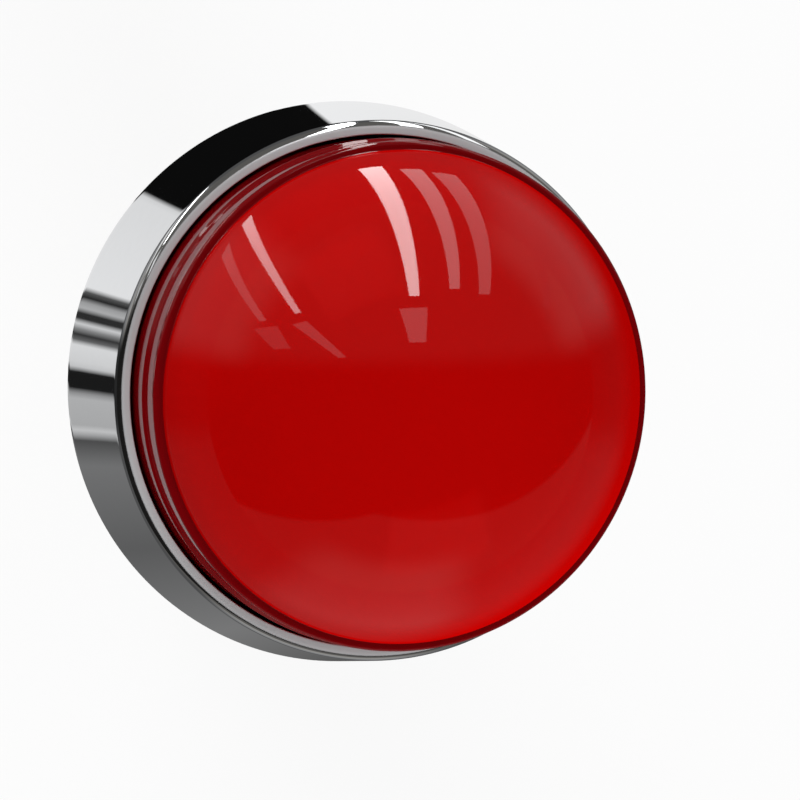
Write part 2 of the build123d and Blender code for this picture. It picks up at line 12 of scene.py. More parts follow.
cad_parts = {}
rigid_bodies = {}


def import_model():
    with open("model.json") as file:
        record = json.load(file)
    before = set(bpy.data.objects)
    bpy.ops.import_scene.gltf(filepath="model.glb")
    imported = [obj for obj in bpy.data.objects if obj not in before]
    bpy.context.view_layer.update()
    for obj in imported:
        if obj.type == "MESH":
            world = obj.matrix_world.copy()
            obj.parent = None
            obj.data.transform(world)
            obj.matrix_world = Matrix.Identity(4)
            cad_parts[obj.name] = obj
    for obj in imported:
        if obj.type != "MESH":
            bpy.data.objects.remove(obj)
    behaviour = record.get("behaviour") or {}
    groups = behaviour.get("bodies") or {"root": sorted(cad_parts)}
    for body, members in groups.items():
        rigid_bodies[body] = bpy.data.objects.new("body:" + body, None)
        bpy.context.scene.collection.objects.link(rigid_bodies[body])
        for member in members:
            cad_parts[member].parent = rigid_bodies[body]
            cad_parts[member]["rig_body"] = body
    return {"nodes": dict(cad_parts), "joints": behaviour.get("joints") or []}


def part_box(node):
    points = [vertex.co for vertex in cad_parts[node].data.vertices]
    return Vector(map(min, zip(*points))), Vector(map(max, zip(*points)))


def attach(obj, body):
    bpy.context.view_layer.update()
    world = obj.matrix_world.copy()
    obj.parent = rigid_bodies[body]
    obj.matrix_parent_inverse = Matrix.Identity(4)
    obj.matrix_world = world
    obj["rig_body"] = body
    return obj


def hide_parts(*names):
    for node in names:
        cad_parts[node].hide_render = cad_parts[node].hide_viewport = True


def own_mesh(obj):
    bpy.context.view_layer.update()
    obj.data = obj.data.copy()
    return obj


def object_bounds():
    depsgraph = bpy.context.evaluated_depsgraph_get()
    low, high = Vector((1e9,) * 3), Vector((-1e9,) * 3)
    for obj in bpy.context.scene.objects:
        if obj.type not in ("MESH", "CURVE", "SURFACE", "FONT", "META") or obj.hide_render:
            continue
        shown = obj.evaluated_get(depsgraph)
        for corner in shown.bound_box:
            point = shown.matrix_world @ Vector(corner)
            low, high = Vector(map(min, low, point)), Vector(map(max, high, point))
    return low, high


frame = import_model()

bl_info = {
    "name": "Arcade dome button",
    "version": (1, 0, 0),
    "blender": (4, 5, 0),
    "location": "3D View > Sidebar > Dome button",
    "description": "Builds the visible pieces, finishes and studio of a lit dome push button",
    "category": "Add Mesh",
}

# Sizes are in metres, in the frame of the solids: +Z out of the panel, origin on the panel seat.
MM = 0.001
CAD_LOW, CAD_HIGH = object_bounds()
BEZEL_LOW, BEZEL_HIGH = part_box("bezel_housing")
LENS_LOW, LENS_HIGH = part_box("dome_lens")
DIFFUSER_LOW, DIFFUSER_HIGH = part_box("light_diffuser")
SPRING_LOW, SPRING_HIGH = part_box("return_spring")
NUT_LOW, NUT_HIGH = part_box("mounting_nut")
LAMP_LOW, LAMP_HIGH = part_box("led_emitter")

# Steps of the surfaces: round the axis, along a dome's arc, round one eased corner, and of the finer pieces
ROUND_STEPS = 192
DOME_STEPS = 48
CORNER_STEPS = 7
LAMP_STEPS = 64
LAMP_TIP_STEPS = 20
WIRE_STEPS = 16
COIL_STEPS = 260
THREAD_ROWS = 12
NUT_ROWS = 60
RING_STEPS = 96

# Lengths that count as none: between points that are merged, and between numbers that are compared
MERGED = 1e-7
NEARLY = 1e-9

# Angles of edges that are shaded sharp and that are rounded, and between triangles of one flat face
SHARP_ANGLE = radians(40)
ROUNDED_ANGLE = radians(35)
FLAT_ANGLE = radians(0.5)

# A thread over one turn: half the width of its root and the width of a flank, as shares of the pitch
ROOT_SHARE = 0.1
FLANK_SHARE = 0.27

# Radii of the turned sections' corners, in the order in which each section names them
LENS_CORNERS = np.array([0.12, 0.42, 0.15, 0.15, 0.3, 0.3, 0.2, 0.2, 0.15]) * MM
DIFFUSER_CORNERS = np.array([0.3, 0.3]) * MM
BEZEL_CORNERS = np.array([0.45, 2.0, 0.9, 0.2, 0.5, 0.3, 0.3, 0.3, 0.2, 0.1, 0.1, 0.2, 0.1]) * MM
NUT_CORNERS = np.array([0.4, 0.5, 0.5, 0.4, 0.9, 0.4]) * MM
LAMP_CORNERS = np.array([0.15, 0.2, 0.1]) * MM

# Width to which the edges of moulded and stamped solids are rounded, and the solids with another width
ROUNDED_EDGE = 0.1 * MM
ROUNDED_EDGES = {
    "plunger": 0.2 * MM,
    "lamp_holder": 0.2 * MM,
    "switch_case": 0.2 * MM,
    "switch_pin": 0.15 * MM,
    "snap_blade": 0.05 * MM,
    "bulb_base": 0.2 * MM,
}

# Moulded plastics: two tones, roughness and the height of the grain
MOULDINGS = {
    "white_moulding": ((0.68, 0.68, 0.66), (0.75, 0.75, 0.735), 0.34, 0.012 * MM),
    "black_moulding": ((0.012, 0.012, 0.013), (0.024, 0.024, 0.026), 0.36, 0.02 * MM),
    "lamp_moulding": ((0.68, 0.69, 0.71), (0.78, 0.79, 0.81), 0.3, 0.01 * MM),
    "red_moulding": ((0.5, 0.02, 0.015), (0.62, 0.035, 0.025), 0.25, 0.008 * MM),
}

# Drawn and rolled metals: two tones, roughness and the stretch of their fine lines along each axis
METALS = {
    "drawn_steel": ((0.55, 0.55, 0.565), (0.68, 0.68, 0.69), 0.3, (0.03, 1.0, 0.03)),
    "rolled_brass": ((0.70, 0.52, 0.25), (0.83, 0.68, 0.38), 0.28, (1.0, 1.0, 0.05)),
}

# Lamps that the dome mirrors: two ends, measured right, up and towards the camera, width and strength
STRIPS = (
    ("strip_left", (-0.136, 0.18, -0.034), (-0.180, 0.18, 0.258), 0.017, 5.5),
    ("strip_left_faint", (-0.188, 0.18, -0.027), (-0.292, 0.18, 0.238), 0.024, 1.1),
    ("strip_middle", (-0.005, 0.18, -0.041), (0.076, 0.18, 0.221), 0.020, 9.0),
    ("strip_right", (0.028, 0.18, -0.045), (0.142, 0.18, 0.171), 0.020, 2.2),
    ("strip_right_faint", (0.056, 0.18, -0.057), (0.206, 0.18, 0.150), 0.026, 1.2),
    ("strip_far_right", (0.158, 0.18, -0.062), (0.372, 0.18, 0.027), 0.03, 0.3),
    ("lamp_middle", (0.085, 0.18, 0.266), (0.164, 0.18, 0.494), 0.064, 1.1),
    ("lamp_left", (-0.203, 0.18, 0.307), (-0.180, 0.18, 0.749), 0.048, 0.8),
    ("lamp_far_left", (-0.317, 0.18, 0.274), (-0.407, 0.18, 0.490), 0.09, 0.5),
)

# Soft lights that mirrors don't see, with their places, and the point that they face, size and power
LIGHTS = {"key_softbox": (-0.35, 0.95, 0.55), "fill_softbox": (0.3, -0.95, 0.45)}
LIGHT_TARGET = (0.0, 0.0, 0.02)
LIGHT_SIZE = 0.7
LIGHT_POWER = 6.5

# Tones of the cards that the chrome mirrors, by degrees round the axis from +X
CARD_TONES = (
    (0, 0.05), (26, 0.8), (79, 0.94), (80, 0.004), (128, 0.004), (129.5, 0.8), (158, 0.88), (159, 0.02),
    (161.5, 0.02), (162, 0.85), (164.5, 0.03), (166.5, 0.03), (167, 0.8), (169.5, 0.03), (171.5, 0.05),
    (172, 0.8), (178.5, 0.7), (179.5, 0.012), (185, 0.012), (186, 0.5), (195, 0.45), (196, 0.8),
    (197.5, 0.07), (205, 0.19), (230, 0.12), (262, 0.2), (290, 0.1), (304, 0.08), (306, 0.65), (319, 0.65),
    (321, 0.03), (360, 0.05),
)


def size(name, text, default):
    """A length that a user may change."""
    return FloatProperty(name=name, description=text, default=default, min=0.0, unit="LENGTH", precision=5)


def share(name, text, default):
    """A plain number that a user may change."""
    return FloatProperty(name=name, description=text, default=default)


def colour(name, text, default):
    """A linear colour that a user may change."""
    limits = {"min": 0.0, "max": 1.0}
    return FloatVectorProperty(name=name, description=text, default=default, subtype="COLOR", **limits)


def place(name, text, default):
    """A point or direction that a user may change."""
    return FloatVectorProperty(name=name, description=text, default=default, subtype="XYZ")


class LensSettings(bpy.types.PropertyGroup):
    """Sizes and colour of the clear dome."""

    edge_level: size("Dome edge level", "Height of the dome's crisp lower edge above the panel", 24.7 * MM)
    step: size("Skirt step", "How far the lower skirt stands out from the upper band", 0.3 * MM)
    shoulder: size("Shoulder width", "Width of the flat shoulder round the dome's edge", 0.9 * MM)
    drop: size("Shoulder drop", "How far the shoulder lies below the dome's edge", 0.5 * MM)
    band: size("Band height", "Height of the upper band", 4.0 * MM)
    wall: size("Wall", "Thickness of the clear wall", 2.0 * MM)
    corner: size("Inner edge drop", "How far the inner dome's edge lies below the outer one", 3.3 * MM)
    bead: size("Bead width", "How far the snap bead stands into the bore", 0.7 * MM)
    bead_height: size("Bead height", "Height of the snap bead", 1.4 * MM)
    tint: colour("Tint", "Colour of the clear red dome over its white backing", (0.78, 0.0012, 0.0006))
    # Painted shade: the skirt's deeper red stands in for the shade of having no lit white behind it
    shaded_skirt_tint: colour("Deep tint", "Colour of the skirt, which has no white behind it", (0.3, 0.001, 0.004))


class BezelSettings(bpy.types.PropertyGroup):
    """Sizes of the plated cup and its threaded stem."""

    flare: size("Flare", "How far the wall leans out towards its base", 2.2 * MM)
    lip: size("Lip width", "Width of the lip round the mouth", 1.45 * MM)
    land: size("Base land", "Height of the upright band at the base", 1.2 * MM)
    floor: size("Floor thickness", "Thickness of the cup's floor", 2.5 * MM)
    collar: size("Collar radius", "Radius of the plain collar under the panel seat", 13.8 * MM)
    collar_length: size("Collar length", "Length of that collar", 2.0 * MM)
    root: size("Thread root", "Radius of the stem at the thread's root", 13.1 * MM)
    crest: size("Thread crest", "Radius of the stem at the thread's crest", 13.7 * MM)
    pitch: size("Thread pitch", "Distance between two turns of the thread", 2.0 * MM)
    bore: size("Stem bore", "Radius of the stem's bore", 11.6 * MM)
    guide: size("Guide bore", "Radius of the bore that the plunger slides in", 10.6 * MM)
    guide_wall: size("Guide wall", "Wall of the guide inside the cup", 2.0 * MM)
    guide_top: size("Guide top", "Height of the guide inside the cup", 6.4 * MM)
    ledge: size("Ledge depth", "Depth of the ledge that the hooks catch", 8.0 * MM)
    plating: colour("Plating", "Colour of the plating", (0.82, 0.83, 0.845))


class NutSettings(bpy.types.PropertyGroup):
    """Sizes of the hexagon nut."""

    flats: size("Across flats", "Distance between two flat sides", 36.0 * MM)
    flange: size("Flange thickness", "Thickness of the flange towards the panel", 2.2 * MM)
    minor: size("Thread minor", "Radius of the nut's thread at its inner crests", 13.78 * MM)
    depth: size("Thread depth", "Depth of the nut's thread", 0.5 * MM)


class SpringSettings(bpy.types.PropertyGroup):
    """Wire of the return spring."""

    wire: size("Wire", "Diameter of the spring's wire", 1.1 * MM)
    turns: share("Turns", "Turns of the coil, with its closed ends", 3.5)


class StudioSettings(bpy.types.PropertyGroup):
    """Camera, floor and lights."""

    target: place("Target", "Point that the camera looks at", (0.0005, -0.0005, 0.0205))
    sight: place("Line of sight", "Direction from the object to the camera", (-0.271, 0.073, 0.960))
    distance: size("Distance", "Distance from the target to the camera", 338 * MM)
    lens: share("Lens", "Focal length of the camera in millimetres", 150.0)
    floor: colour("Floor", "Colour of the floor", (0.92, 0.92, 0.92))


class ButtonSettings(bpy.types.PropertyGroup):
    """All settings of the dome button."""

    lens: PointerProperty(type=LensSettings)
    bezel: PointerProperty(type=BezelSettings)
    nut: PointerProperty(type=NutSettings)
    spring: PointerProperty(type=SpringSettings)
    studio: PointerProperty(type=StudioSettings)


# Shapes


def arc(centre, radius, start, end, steps):
    """Points of a circle in a half section, from one angle to another, with angles from the radius axis."""
    angle = np.linspace(start, end, steps)
    return np.stack([centre[0] + radius * np.cos(angle), centre[1] + radius * np.sin(angle)], 1)


def dome_section(edge_radius, edge_level, top, steps=DOME_STEPS):
    """Half section of a cap, from its top on the axis to its edge.

    The cap's sphere has the radius (edge^2 + height^2) / (2 height), as a circle through both points has.
    """
    height = top - edge_level
    radius = (edge_radius**2 + height**2) / (2 * height)
    edge_angle = np.arctan2(radius - height, edge_radius)
    return arc((0.0, top - radius), radius, pi / 2, edge_angle, steps)


def eased(points, radii, closed=False):
    """A section's corners rounded: each becomes an arc that touches both of its sides.

    With the corner's half angle h, the arc's centre lies radius / sin(h) along the bisector, and it touches
    the sides radius / tan(h) from the corner. A guard point beside each end of the arc keeps the sides flat.
    """
    points, radii = np.asarray(points, float), np.asarray(radii, float)
    ends = points[[0, -1]]
    before, after = np.roll(points, 1, 0), np.roll(points, -1, 0)
    if not closed:
        before, after, points = before[1:-1], after[1:-1], points[1:-1]
    a = (before - points) / np.linalg.norm(before - points, axis=1)[:, None]
    b = (after - points) / np.linalg.norm(after - points, axis=1)[:, None]
    half = np.arccos(np.clip((a * b).sum(1), -1, 1)) / 2
    middle = (a + b) / np.linalg.norm(a + b, axis=1)[:, None]
    centre = points + middle * (radii / np.sin(half))[:, None]
    reach = (radii / np.tan(half))[:, None]
    start, end = points + a * reach - centre, points + b * reach - centre
    turn = (pi - 2 * half)[:, None]
    along = np.linspace(0, 1, CORNER_STEPS)[None, :]
    weights = np.sin((1 - along) * turn) / np.sin(turn), np.sin(along * turn) / np.sin(turn)
    arcs = centre[:, None] + weights[0][..., None] * start[:, None] + weights[1][..., None] * end[:, None]
    guard = radii[:, None] / 4
    first = (centre + start + a * guard)[:, None]
    last = (centre + end + b * guard)[:, None]
    line = np.concatenate([first, arcs, last], 1).reshape(-1, 2)
    return line if closed else np.concatenate([ends[:1], line, ends[1:]])


def ring_faces(rows, columns, closed_rows=False):
    """Faces of a grid whose columns go round and close, and whose rows close too if asked."""
    row = np.arange(rows if closed_rows else rows - 1)[:, None]
    column = np.arange(columns)[None, :]
    here, there = row * columns, ((row + 1) % rows) * columns
    beside = (column + 1) % columns
    return np.stack([here + column, there + column, there + beside, here + beside], -1).reshape(-1, 4)


def turned(section, closed=False, steps=ROUND_STEPS):
    """A half section carried round Z: (r cos t, r sin t, z) for each point of the section and angle t.

    A section that starts or ends on the axis gets one vertex there and a fan of triangles. A shape is its
    points and its faces, in groups with one number of corners each.
    """
    section = np.asarray(section, float)
    top, bottom = section[0, 0] < NEARLY, section[-1, 0] < NEARLY
    body = section[1 if top else 0 : -1 if bottom else None]
    angle = np.linspace(0, 2 * pi, steps, endpoint=False)
    grid = np.stack(
        [
            body[:, :1] * np.cos(angle),
            body[:, :1] * np.sin(angle),
            np.broadcast_to(body[:, 1:], (len(body), steps)),
        ],
        -1,
    )
    points = grid.reshape(-1, 3)
    faces = [ring_faces(len(body), steps, closed)]
    column = np.arange(steps)
    beside = (column + 1) % steps
    if top:
        faces.append(np.stack([np.full(steps, len(points)), column, beside], 1))
        points = np.concatenate([points, [[0, 0, section[0, 1]]]])
    if bottom:
        last = (len(body) - 1) * steps
        faces.append(np.stack([np.full(steps, len(points)), last + beside, last + column], 1))
        points = np.concatenate([points, [[0, 0, section[-1, 1]]]])
    return points, faces


def thread_height(phase):
    """Height of a thread over one turn's phase from 0 to 1: 0 along the root and 1 along the crest.

    The share of the pitch from the root's middle is 1/2 - |phase - 1/2|, and a smooth flank rises over it.
    """
    from_root = 0.5 - np.abs(phase % 1.0 - 0.5)
    return smooth_rise((from_root - ROOT_SHARE) / FLANK_SHARE)


def smooth_rise(x):
    """0 below 0, 1 above 1 and a smooth S between."""
    x = np.clip(x, 0, 1)
    return x * x * (3 - 2 * x)


def compact(points, *groups):
    """A shape without the points that no face uses."""
    used, index = np.unique(np.concatenate([g.ravel() for g in groups]), return_inverse=True)
    parts = np.split(index, np.cumsum([g.size for g in groups])[:-1])
    return points[used], [part.reshape(g.shape) for part, g in zip(parts, groups)]


def joined(*shapes):
    """Several shapes as one, whose faces count their points on from the shapes before."""
    counts = np.cumsum([0] + [len(points) for points, _ in shapes])
    faces = [group + count for (_, groups), count in zip(shapes, counts) for group in groups]
    return np.concatenate([points for points, _ in shapes]), faces


def threaded_tube(root, crest, pitch, low, high, bore, rows=THREAD_ROWS):
    """A tube with a right-hand thread outside, on a grid whose rows follow the turns.

    At row j and angle t the level is low + pitch (j / rows + t / 2 pi), and the radius is the root's plus the
    thread's height at the phase j / rows. The thread runs out within a pitch of each end, and levels past an
    end are drawn in to the end's circle.
    """
    steps = ROUND_STEPS
    row = np.arange(-rows, int(np.ceil((high - low) / pitch * rows)) + 1)[:, None]
    column = np.arange(steps)[None]
    level = low + pitch * (row / rows + column / steps)
    run_out = smooth_rise((level - low) / pitch) * smooth_rise((high - level) / pitch)
    radius = root + (crest - root) * thread_height(row / rows) * run_out
    circle = np.stack([np.cos(2 * pi * column[0] / steps), np.sin(2 * pi * column[0] / steps)], -1)
    grid = np.concatenate([radius[..., None] * circle[None], level[..., None]], -1).reshape(-1, 3)
    rims = [(root, low), (root, high), (bore, low), (bore, high)]
    rims = [np.column_stack([r * circle, np.full(steps, z)]) for r, z in rims]
    points = np.concatenate([grid, *rims])
    bottom, top, inner_bottom, inner_top = len(grid) + steps * np.arange(4)[:, None] + column
    index = np.arange(len(grid)).reshape(level.shape)
    index = np.where(level <= low, bottom, np.where(level >= high, top, index))
    beside = np.roll(index, -1, 1)
    beside[:, -1] = np.concatenate([index[rows:, 0], np.full(rows, top[0])])
    quads = np.stack([index[:-1], beside[:-1], beside[1:], index[1:]], -1).reshape(-1, 4)
    left, right = quads[:, 0] == quads[:, 3], quads[:, 1] == quads[:, 2]
    loops = np.stack([bottom, inner_bottom, inner_top, top])
    walls = np.stack([loops[:-1], np.roll(loops, -1, 1)[:-1], np.roll(loops, -1, 1)[1:], loops[1:]], -1)
    quads, thin = np.concatenate([quads[~left & ~right], walls.reshape(-1, 4)[:, ::-1]]), quads
    return compact(points, quads, thin[left & ~right][:, :3], thin[right & ~left][:, [0, 1, 3]])


def walled(angles, levels, outside, inside, kept):
    """A tube's wall between two radius grids, with windows where cells aren't kept.

    Each kept cell has an outer and an inner face, and each edge between a kept cell and none has a wall.
    """
    rows, columns = len(levels), len(angles)
    point = np.stack(np.broadcast_arrays(np.cos(angles)[None], np.sin(angles)[None], levels[:, None]), -1)
    scale = np.stack([outside, inside])[..., None] * [1, 1, 0] + [0, 0, 1]
    points = (point[None] * scale).reshape(-1, 3)
    index = np.arange(rows * columns).reshape(rows, columns)
    beside = np.roll(index, -1, 1)
    outer = np.stack([index[:-1], beside[:-1], beside[1:], index[1:]], -1)
    deep = rows * columns
    faces = [outer[kept], outer[kept][:, ::-1] + deep]
    empty = np.zeros((1, columns), bool)
    padded = np.concatenate([empty, kept, empty])
    low = padded[1:] & ~padded[:-1]
    high = padded[:-1] & ~padded[1:]
    left = kept & ~np.roll(kept, 1, 1)
    right = kept & ~np.roll(kept, -1, 1)
    faces.append(np.stack([beside, index, index + deep, beside + deep], -1)[low])
    faces.append(np.stack([index, beside, beside + deep, index + deep], -1)[high])
    faces.append(np.stack([index[:-1], index[1:], index[1:] + deep, index[:-1] + deep], -1)[left])
    faces.append(np.stack([beside[1:], beside[:-1], beside[:-1] + deep, beside[1:] + deep], -1)[right])
    return compact(points, np.concatenate(faces))


def wire(line, radius, steps=WIRE_STEPS):
    """A round wire along a line: a circle in the plane across the line at each point, with capped ends."""
    along = np.gradient(line, axis=0)
    along /= np.linalg.norm(along, axis=1)[:, None]
    side = np.cross(along, [0, 0, 1.0])
    side /= np.linalg.norm(side, axis=1)[:, None]
    up = np.cross(side, along)
    angle = np.linspace(0, 2 * pi, steps, endpoint=False)
    ring = side[:, None] * np.cos(angle)[None, :, None] + up[:, None] * np.sin(angle)[None, :, None]
    points = (line[:, None] + radius * ring).reshape(-1, 3)
    caps = np.stack([np.arange(steps), len(points) - 1 - np.arange(steps)])
    return points, [ring_faces(len(line), steps)[:, ::-1], caps]


# Pieces


def make_piece(name, shape, nodes, finish):
    """A mesh of a shape that replaces CAD nodes, rides on their body and takes a finish."""
    points, groups = shape
    mesh = bpy.data.meshes.new(name)
    mesh.from_pydata(points.tolist(), [], sum((group.tolist() for group in groups), []))
    mesh.validate()
    mesh.shade_smooth()
    mesh.set_sharp_from_angle(angle=SHARP_ANGLE)
    return fit_piece(bpy.data.objects.new(name, mesh), nodes, finish)


def fit_piece(piece, nodes, finish):
    """Links a piece, gives it its finish and lets it stand for CAD nodes on their body."""
    bpy.context.scene.collection.objects.link(piece)
    piece.data.materials.clear()
    piece.data.materials.append(finish)
    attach(piece, frame["nodes"][nodes[0]]["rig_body"])
    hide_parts(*nodes)
    return piece


def ease_node(node, finish):
    """A CAD node's shape with its triangles merged to whole faces and its sharp edges rounded."""
    mesh = bpy.data.meshes.new(node + "_eased")
    work = bmesh.new()
    work.from_mesh(frame["nodes"][node].data)
    bmesh.ops.remove_doubles(work, verts=work.verts, dist=MERGED)
    bmesh.ops.dissolve_limit(work, angle_limit=FLAT_ANGLE, verts=work.verts, edges=work.edges)
    work.to_mesh(mesh)
    work.free()
    mesh.shade_smooth()
    piece = bpy.data.objects.new(node + "_eased", mesh)
    edge = piece.modifiers.new("eased edges", "BEVEL")
    edge.width = ROUNDED_EDGES.get(node, ROUNDED_EDGE)
    edge.segments = 3
    edge.use_clamp_overlap = False
    edge.limit_method = "ANGLE"
    edge.angle_limit = ROUNDED_ANGLE
    flat = piece.modifiers.new("flat faces", "WEIGHTED_NORMAL")
    flat.weight = 100
    return fit_piece(piece, [node], finish)


def paint_node(node, finish):
    """Gives a CAD node that stays as it is its finish."""
    data = frame["nodes"][node].data
    data.materials.clear()
    data.materials.append(finish)


# Finishes


class Value:
    """A socket of a shader tree. Arithmetic on it adds Math nodes."""

    def __init__(self, finish, socket):
        self.finish = finish
        self.socket = socket

    def __add__(self, other):
        return self.finish.math("ADD", self, other)

    __radd__ = __add__

    def __sub__(self, other):
        return self.finish.math("SUBTRACT", self, other)

    def __rsub__(self, other):
        return self.finish.math("SUBTRACT", other, self)

    def __mul__(self, other):
        return self.finish.math("MULTIPLY", self, other)

    __rmul__ = __mul__

    def __truediv__(self, other):
        return self.finish.math("DIVIDE", self, other)

    def __rtruediv__(self, other):
        return self.finish.math("DIVIDE", other, self)


class Finish:
    """A node tree with one method that adds any node."""

    def __init__(self, tree):
        self.tree = tree
        self.tree.nodes.clear()

    def node(self, kind, settings=None, inputs=None, output=0):
        """Adds a node: its settings first, then its sockets' values or links. Gives the named output."""
        made = self.tree.nodes.new(kind)
        for key, value in (settings or {}).items():
            if key == "stops":
                self.set_stops(made.color_ramp, value)
            else:
                setattr(made, key, value)
        for key, value in (inputs or {}).items():
            self.feed(made.inputs[key], value)
        return Value(self, made.outputs[output]) if made.outputs else made

    def feed(self, socket, value):
        """Links a value to a socket, or sets the socket to a constant."""
        if isinstance(value, Value):
            self.tree.links.new(value.socket, socket)
        else:
            socket.default_value = value

    @staticmethod
    def set_stops(ramp, stops):
        """Sets a ramp's stops, each a position and a colour."""
        while len(ramp.elements) < len(stops):
            ramp.elements.new(1.0)
        for element, (position, tone) in zip(ramp.elements, stops):
            element.position = position
            element.color = (*tone, 1.0)

    def math(self, operation, *values):
        """A Math node of this operation on values or numbers."""
        return self.node("ShaderNodeMath", {"operation": operation}, dict(enumerate(values)))

    def place(self):
        """The place on the piece, in Object coordinates."""
        return self.node("ShaderNodeTexCoord", output="Object")

    def distance(self, where):
        """How far a place is from the origin."""
        return self.node("ShaderNodeVectorMath", {"operation": "LENGTH"}, {0: where}, "Value")

    def noise(self, scale, detail, stretch=(1.0, 1.0, 1.0)):
        """Noise on Object coordinates, about 0 to 1, scaled per metre and stretched along each axis."""
        where = self.node("ShaderNodeMapping", None, {"Vector": self.place(), "Scale": stretch})
        inputs = {"Vector": where, "Scale": scale, "Detail": detail}
        return self.node("ShaderNodeTexNoise", None, inputs)

    def tones(self, factor, low, high):
        """A colour between two, by a factor."""
        inputs = {0: factor, 6: (*low, 1.0), 7: (*high, 1.0)}
        return self.node("ShaderNodeMix", {"data_type": "RGBA"}, inputs, 2)

    def step(self, value, low, high):
        """0 below the low value, 1 above the high one and a smooth S between."""
        inputs = {"Value": value, "From Min": low, "From Max": high}
        return self.node("ShaderNodeMapRange", {"interpolation_type": "SMOOTHSTEP"}, inputs)

    def axis(self, where, name):
        """One coordinate of a place."""
        return self.node("ShaderNodeSeparateXYZ", None, {"Vector": where}, name)

    def turn(self, where):
        """The angle of a place round Z."""
        return self.math("ARCTAN2", self.axis(where, "Y"), self.axis(where, "X"))

    def sides(self, where):
        """0 towards -X and +X, and 1 towards -Y and +Y."""
        across = self.math("ABSOLUTE", self.math("SINE", self.turn(where)))
        return self.step(across, 0.12, 0.34)

    def panels(self, where):
        """Soft upright panels round the room, three by the angle round Z, with none towards -X and +X."""
        wave = self.math("SINE", 3.0 * self.turn(where))
        return self.sides(where) * self.step(wave, -0.1, 0.75)

    def bump(self, height, distance):
        """Normals of a height of this distance in metres."""
        return self.node("ShaderNodeBump", None, {"Height": height, "Distance": distance})


FINISHES = {}


def new_material(name):
    """A new material and its empty node tree."""
    material = bpy.data.materials.new(name)
    material.use_nodes = True
    return material, Finish(material.node_tree)


def surface(name, build):
    """A material made once, from a function that gives its shader or a Principled shader's inputs."""
    if name in FINISHES:
        return FINISHES[name]
    FINISHES[name], finish = new_material(name)
    made = build(finish)
    shader = made if isinstance(made, Value) else finish.node("ShaderNodeBsdfPrincipled", None, made)
    finish.node("ShaderNodeOutputMaterial", None, {"Surface": shader})
    return FINISHES[name]


def chrome_plate():
    """Bright plating: a mirror that waves a little as plated mouldings do. On top of the lip it is partly worn
    satin, and partly a diffuse grey that is a painted highlight standing in for the bright line that the lip
    mirrors.
    """

    def build(finish):
        haze = finish.noise(scale=900.0, detail=3.0)
        wave = finish.noise(scale=160.0, detail=1.0)
        plating = bpy.context.scene.dome_button.bezel.plating
        # Painted highlight, partly worn satin: the top of the lip loses some metal and shows a diffuse grey,
        # standing in for the bright line that it mirrors
        top, satin_highlight_depth, satin_highlight_edge = BEZEL_HIGH.z, 0.07 * MM, 0.01 * MM
        satin = finish.step(finish.axis(finish.place(), "Z"), top - satin_highlight_depth, top - satin_highlight_edge)
        return {
            "Base Color": finish.tones(haze, tuple(0.97 * c for c in plating), tuple(plating)),
            "Metallic": 1.0 - 0.65 * satin,
            "Roughness": 0.02 + 0.035 * haze + 0.16 * satin,
            "Normal": finish.bump(wave, distance=0.004 * MM),
        }

    return surface("bright_chrome", build)


def red_lens():
    """Clear red moulding: part of the light passes through and part is scattered in the tinted wall.

    Its gloss fades where the dome is seen along its surface, so that its outline stays red against a lamp;
    there its red is painted darker as shade, and below the dome's edge the skirt is painted a deeper red as
    shade.
    """

    def build(finish):
        lens = bpy.context.scene.dome_button.lens
        # Painted shade: below the dome's edge the lens takes the deeper skirt tint, standing in for the shade
        # where no lit white lies behind it
        shallow = finish.step(finish.axis(finish.place(), "Z"), lens.edge_level - lens.drop, lens.edge_level)
        shade = shallow * (0.93 + 0.07 * finish.noise(scale=70.0, detail=2.0))
        red = finish.tones(shade, tuple(lens.shaded_skirt_tint), tuple(lens.tint))
        gloss = {
            "Base Color": red,
            "Roughness": 0.022 + 0.02 * finish.noise(scale=500.0, detail=2.0),
            "IOR": 1.49,
            "Transmission Weight": 0.45,
            "Normal": finish.bump(finish.noise(scale=110.0, detail=1.0), distance=0.003 * MM),
        }
        # Painted shade: where the dome is seen edge-on its red is painted darker, standing in for the longer
        # path through the tinted wall
        rim = finish.tones(shade, tuple(lens.shaded_skirt_tint), tuple(0.66 * c for c in lens.tint))
        plain = {"Base Color": rim, "Roughness": 1.0, "Specular IOR Level": 0.0}
        facing = finish.node("ShaderNodeLayerWeight", None, {"Blend": 0.5}, "Facing")
        shaders = [finish.node("ShaderNodeBsdfPrincipled", None, inputs) for inputs in (gloss, plain)]
        fade_start, fade_end = 0.52, 0.78
        along = shallow * finish.step(facing, fade_start, fade_end)
        return finish.node("ShaderNodeMixShader", None, {0: along, 1: shaders[0], 2: shaders[1]})

    return surface("clear_red", build)


def moulded(name):
    """Moulded plastic: a colour that varies a little, a satin gloss and a fine grain."""
    low, high, roughness, grain = MOULDINGS[name]

    def build(finish):
        return {
            "Base Color": finish.tones(finish.noise(scale=240.0, detail=3.0), low, high),
            "Roughness": roughness + 0.12 * finish.noise(scale=700.0, detail=3.0),
            "Normal": finish.bump(finish.noise(scale=5200.0, detail=2.0), distance=grain),
        }

    return surface(name, build)


def drawn_metal(name):
    """Rolled or drawn metal: fine lines along one axis in its gloss, and a stain in its colour."""
    low, high, roughness, stretch = METALS[name]

    def build(finish):
        return {
            "Base Color": finish.tones(finish.noise(scale=260.0, detail=3.0), low, high),
            "Metallic": 1.0,
            "Roughness": roughness + 0.03 * finish.noise(scale=2200.0, detail=2.0, stretch=stretch),
        }

    return surface(name, build)


